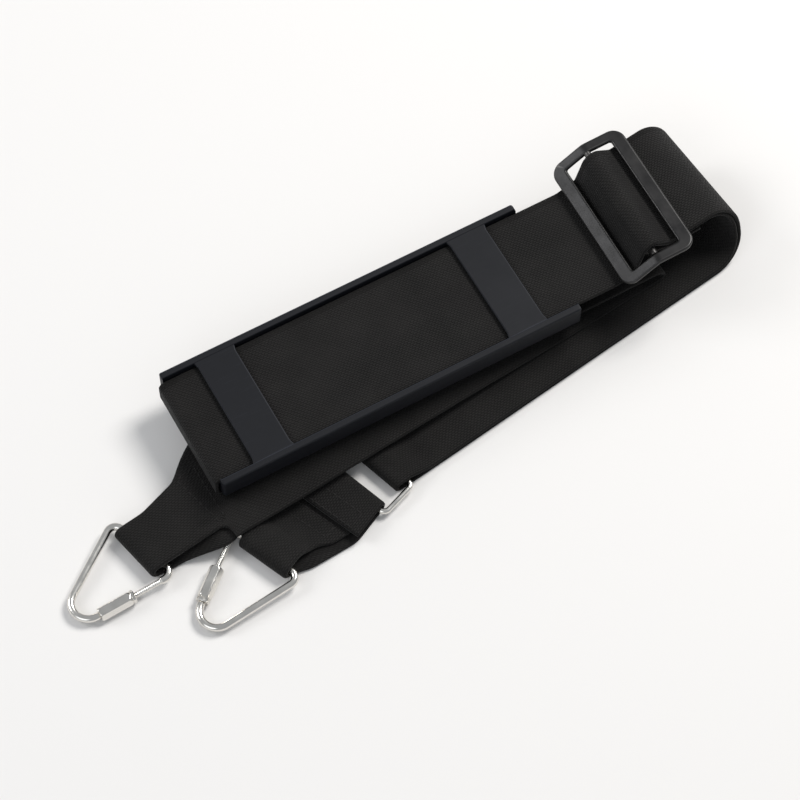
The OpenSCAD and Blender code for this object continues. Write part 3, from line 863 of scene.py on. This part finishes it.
# ---- materials ----
class Shader:
    """A Principled material, with short ways to add the nodes that drive it."""

    def __init__(self, name, **sockets):
        self.material = bpy.data.materials.new(name)
        self.material.use_nodes = True
        self.tree = self.material.node_tree
        self.bsdf = self.tree.nodes["Principled BSDF"]
        for socket, value in sockets.items():
            self.bsdf.inputs[socket.replace("_", " ")].default_value = value

    def node(self, kind, **values):
        made = self.tree.nodes.new(kind)
        for key, value in values.items():
            setattr(made, key, value)
        return made

    def link(self, value, socket):
        if isinstance(value, bpy.types.NodeSocket):
            self.tree.links.new(value, socket)
        else:
            socket.default_value = value

    def math(self, operation, *values):
        made = self.node("ShaderNodeMath", operation=operation)
        for value, socket in zip(values, made.inputs):
            self.link(value, socket)
        return made.outputs[0]

    def noise(self, vector, scale, detail=3.0, roughness=0.5):
        made = self.node("ShaderNodeTexNoise")
        self.link(vector, made.inputs["Vector"])
        made.inputs["Scale"].default_value = scale
        made.inputs["Detail"].default_value = detail
        made.inputs["Roughness"].default_value = roughness
        return made.outputs["Fac"]

    def spread(self, value, low, high, to_low=0.0, to_high=1.0):
        made = self.node("ShaderNodeMapRange")
        self.link(value, made.inputs["Value"])
        for key, number in zip(("From Min", "From Max", "To Min", "To Max"), (low, high, to_low, to_high)):
            made.inputs[key].default_value = number
        return made.outputs["Result"]

    def mix(self, factor, a, b):
        made = self.node("ShaderNodeMix", data_type="RGBA")
        self.link(factor, made.inputs["Factor"])
        self.link(a, made.inputs[6])
        self.link(b, made.inputs[7])
        return made.outputs[2]

    def bump(self, height, distance, strength=1.0, after=None):
        made = self.node("ShaderNodeBump")
        made.inputs["Strength"].default_value = strength
        made.inputs["Distance"].default_value = distance
        self.link(height, made.inputs["Height"])
        if after is not None:
            self.link(after, made.inputs["Normal"])
        return made.outputs["Normal"]

    def set(self, **links):
        for socket, value in links.items():
            self.link(value, self.bsdf.inputs[socket.replace("_", " ")])
        return self.material


def place(shader):
    """Places in metres, fixed to each object."""
    return shader.node("ShaderNodeTexCoord").outputs["Object"]


def woven():
    """Black webbing: staggered floats of yarn, fibre grain, flatter woven edges, a little fading, and
    painted shade between the floats.
    """
    sh = Shader("woven_webbing", Sheen_Weight=0.06, Sheen_Roughness=0.45, Specular_IOR_Level=0.16)
    uv = sh.node("ShaderNodeUVMap", uv_map="weave")
    parts = sh.node("ShaderNodeSeparateXYZ")
    sh.link(uv.outputs["UV"], parts.inputs[0])
    yarn_w, float_l = 0.9 * MM, 1.7 * MM
    column = sh.math("DIVIDE", parts.outputs["X"], yarn_w)
    odd = sh.math("MODULO", sh.math("ABSOLUTE", sh.math("FLOOR", column)), 2.0)
    row = sh.math("ADD", sh.math("DIVIDE", parts.outputs["Y"], float_l), sh.math("MULTIPLY", odd, 0.5))
    ridge = sh.math("ABSOLUTE", sh.math("SINE", sh.math("MULTIPLY", column, math.pi)))
    crest = sh.math("ABSOLUTE", sh.math("SINE", sh.math("MULTIPLY", row, math.pi)))
    plump = sh.math("MULTIPLY", sh.math("POWER", ridge, 0.6), sh.math("POWER", crest, 0.45))
    stretch = sh.node("ShaderNodeMapping")
    sh.link(uv.outputs["UV"], stretch.inputs["Vector"])
    stretch.inputs["Scale"].default_value = (6000, 900, 1)
    fibre = sh.noise(stretch.outputs["Vector"], 1.0, 2.0)
    from_middle = sh.math("ABSOLUTE", parts.outputs["X"])
    selvage = sh.spread(from_middle, (WEB_W / 2 - 1.9) * MM, (WEB_W / 2 - 1.6) * MM)
    plump = sh.math("MULTIPLY", plump, sh.math("SUBTRACT", 1.0, sh.math("MULTIPLY", selvage, 0.45)))
    height = sh.math("ADD", plump, sh.math("MULTIPLY", fibre, 0.35))
    worn = sh.noise(place(sh), 55.0, 4.0, 0.6)
    # The colour is painted shade, darker between the yarn floats and lighter on their crests, mixed with a
    # little random fading.
    painted_weave_shade_and_fading = sh.math("ADD", sh.math("MULTIPLY", plump, 0.6), sh.spread(worn, 0.3, 0.7, -0.1, 0.35))
    color = sh.mix(painted_weave_shade_and_fading, (0.0026, 0.0024, 0.0023, 1), (0.0135, 0.0127, 0.0121, 1))
    return sh.set(
        Base_Color=color,
        Roughness=sh.spread(plump, 0, 1, 0.92, 0.62),
        Normal=sh.bump(height, 0.28 * MM, 0.9),
    )


def sewing_thread():
    """Black thread with a twist, whose bands of colour are painted shade in the twist's grooves."""
    sh = Shader("sewing_thread", Sheen_Weight=0.05, Roughness=0.8, Specular_IOR_Level=0.25)
    wave = sh.node("ShaderNodeTexWave", wave_type="BANDS", bands_direction="DIAGONAL")
    sh.link(place(sh), wave.inputs["Vector"])
    wave.inputs["Scale"].default_value = 900
    # Painted shade: the colour is darker in the twist's grooves, in the same bands as the bump.
    color = sh.mix(wave.outputs["Fac"], (0.0045, 0.0042, 0.004, 1), (0.017, 0.016, 0.0155, 1))
    return sh.set(Base_Color=color, Normal=sh.bump(wave.outputs["Fac"], 0.05 * MM))


def moulded_rubber():
    """Cool black rubber with a fine mould grain, smoother on its edges, and a painted highlight that makes
    its edges paler.
    """
    sh = Shader("moulded_rubber", Specular_IOR_Level=0.19)
    where = place(sh)
    grain = sh.noise(where, 2600.0, 2.0)
    smudge = sh.noise(where, 38.0, 5.0, 0.62)
    edge = sh.spread(sh.node("ShaderNodeNewGeometry").outputs["Pointiness"], 0.52, 0.60)
    drawn = sh.node("ShaderNodeMapping")
    sh.link(where, drawn.inputs["Vector"])
    drawn.inputs["Rotation"].default_value = (0, 0, 0.5)
    drawn.inputs["Scale"].default_value = (70, 1500, 400)
    scuff = sh.spread(sh.noise(drawn.outputs["Vector"], 1.0, 4.0, 0.7), 0.60, 0.74)
    color = sh.mix(smudge, (0.0040, 0.0046, 0.0066, 1), (0.0080, 0.0089, 0.0120, 1))
    color = sh.mix(sh.math("MULTIPLY", scuff, 0.5), color, (0.019, 0.021, 0.027, 1))
    # Painted highlight: the colour turns paler on the sharp edges of the rims and bridges.
    color = sh.mix(sh.math("MULTIPLY", edge, 0.55), color, (0.032, 0.035, 0.044, 1))
    rough = sh.math("SUBTRACT", sh.spread(smudge, 0.3, 0.7, 0.60, 0.46), sh.math("MULTIPLY", edge, 0.08))
    return sh.set(Base_Color=color, Roughness=rough, Normal=sh.bump(grain, 0.05 * MM, 0.6))


def pewter():
    """Dark satin plated metal, with brushed streaks and a painted highlight that brightens its edges."""
    sh = Shader("dark_plating", Metallic=0.85, Specular_IOR_Level=0.4)
    where = place(sh)
    stretch = sh.node("ShaderNodeMapping")
    sh.link(where, stretch.inputs["Vector"])
    stretch.inputs["Scale"].default_value = (2400, 240, 1200)
    streak = sh.noise(stretch.outputs["Vector"], 1.0, 3.0)
    cloud = sh.noise(where, 120.0, 4.0, 0.6)
    edge = sh.spread(sh.node("ShaderNodeNewGeometry").outputs["Pointiness"], 0.51, 0.58)
    color = sh.mix(cloud, (0.022, 0.022, 0.023, 1), (0.038, 0.0375, 0.0375, 1))
    # Painted highlight: the colour turns bright on the frame's sharp edges.
    color = sh.mix(sh.math("MULTIPLY", edge, 0.6), color, (0.12, 0.117, 0.114, 1))
    rough = sh.math("ADD", sh.spread(cloud, 0.3, 0.7, 0.26, 0.40), sh.math("MULTIPLY", streak, 0.08))
    return sh.set(Base_Color=color, Roughness=rough, Normal=sh.bump(streak, 0.02 * MM, 0.5))


def nickel():
    """Bright nickel plate, with fine scratches and finger marks."""
    sh = Shader("bright_nickel", Metallic=1.0)
    where = place(sh)
    marks = sh.noise(where, 160.0, 5.0, 0.65)
    scratch = sh.noise(where, 3000.0, 2.0)
    color = sh.mix(marks, (0.70, 0.675, 0.63, 1), (0.83, 0.81, 0.77, 1))
    return sh.set(
        Base_Color=color,
        Roughness=sh.spread(marks, 0.35, 0.7, 0.12, 0.27),
        Normal=sh.bump(scratch, 0.01 * MM, 0.35),
    )


def wear(obj, material):
    """Gives obj one material."""
    obj.data.materials.clear()
    obj.data.materials.append(material)


# ---- stage ----
def area_light(name, place_m, target_m, size, watts, color):
    """A round light at place_m, facing target_m."""
    data = bpy.data.lights.new(name, "AREA")
    data.shape = "DISK"
    data.size = size
    data.energy = watts
    data.color = color
    obj = bpy.data.objects.new(name, data)
    obj.location = place_m
    obj.rotation_euler = (Vector(target_m) - Vector(place_m)).to_track_quat("-Z", "Y").to_euler()
    bpy.context.scene.collection.objects.link(obj)


def stage():
    """A pale floor under a soft sky, with a key, a fill and a back light."""
    half = 2.5
    corners = [(-half, -half, 0), (half, -half, 0), (half, half, 0), (-half, half, 0)]
    mesh = bpy.data.meshes.new("studio_floor")
    mesh.from_pydata(corners, [], [(0, 1, 2, 3)])
    floor = bpy.data.objects.new("studio_floor", mesh)
    bpy.context.scene.collection.objects.link(floor)
    pale = Shader("pale_floor", Base_Color=(0.74, 0.73, 0.72, 1), Roughness=0.85)
    wear(floor, pale.material)
    world = bpy.data.worlds.new("studio")
    bpy.context.scene.world = world
    world.use_nodes = True
    world.node_tree.nodes["Background"].inputs["Color"].default_value = (0.93, 0.96, 1.0, 1)
    world.node_tree.nodes["Background"].inputs["Strength"].default_value = 0.42
    area_light("key", (1.15, 0.25, 1.45), (0, 0, 0), size=0.8, watts=31, color=(1.0, 0.98, 0.95))
    area_light("fill", (-1.2, -0.6, 1.0), (0, 0, 0), size=1.2, watts=4.5, color=(0.93, 0.96, 1.0))
    area_light("back", (-1.1, 0.9, 0.95), (0, 0, 0.02), size=0.8, watts=8.5, color=(1.0, 1.0, 1.0))


CAMERA_PLACE = Vector((-0.2560, -0.4574, 1.0013))
LOOK_AT = Vector((-0.004, -0.005, 0.016))
LENS = 125


def camera():
    """A long lens, high up in front of the strap and a little to its left."""
    data = bpy.data.cameras.new("camera")
    data.lens = LENS
    data.sensor_width = 36
    data.clip_start, data.clip_end = 0.05, 20
    obj = bpy.data.objects.new("camera", data)
    obj.location = CAMERA_PLACE
    obj.rotation_mode = "QUATERNION"
    obj.rotation_quaternion = (LOOK_AT - CAMERA_PLACE).to_track_quat("-Z", "Y")
    bpy.context.scene.collection.objects.link(obj)
    bpy.context.scene.camera = obj
    bpy.context.scene.view_settings.view_transform = "Standard"


camera()
main, tab, straps = webbing()
pad = shoulder_pad()
frame_piece = slide_frame()
ring_piece = ring()
links = [
    link_rod("link_a_wire", LINK_A_AT, LINK_A_TURN, -1, "link_a", "link_a_rod"),
    link_rod("link_b_wire", LINK_B_AT, LINK_B_TURN, 1, "link_b", "link_b_rod"),
    link_sleeve("link_a_screw_sleeve", LINK_A_AT, LINK_A_TURN, -1, True, "sleeve_a", "link_a_sleeve"),
    link_sleeve("link_b_screw_sleeve", LINK_B_AT, LINK_B_TURN, 1, False, "sleeve_b", "link_b_sleeve"),
]
stitches = stitching(main, tab)

web, thread, rubber, plate, bright = woven(), sewing_thread(), moulded_rubber(), pewter(), nickel()
for obj in straps:
    wear(obj, web)
for obj in stitches:
    wear(obj, thread)
wear(pad, rubber)
wear(frame_piece, plate)
for obj in (ring_piece, *links):
    wear(obj, bright)
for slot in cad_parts["slide_centre_bar"].material_slots:
    slot.material = plate
stage()
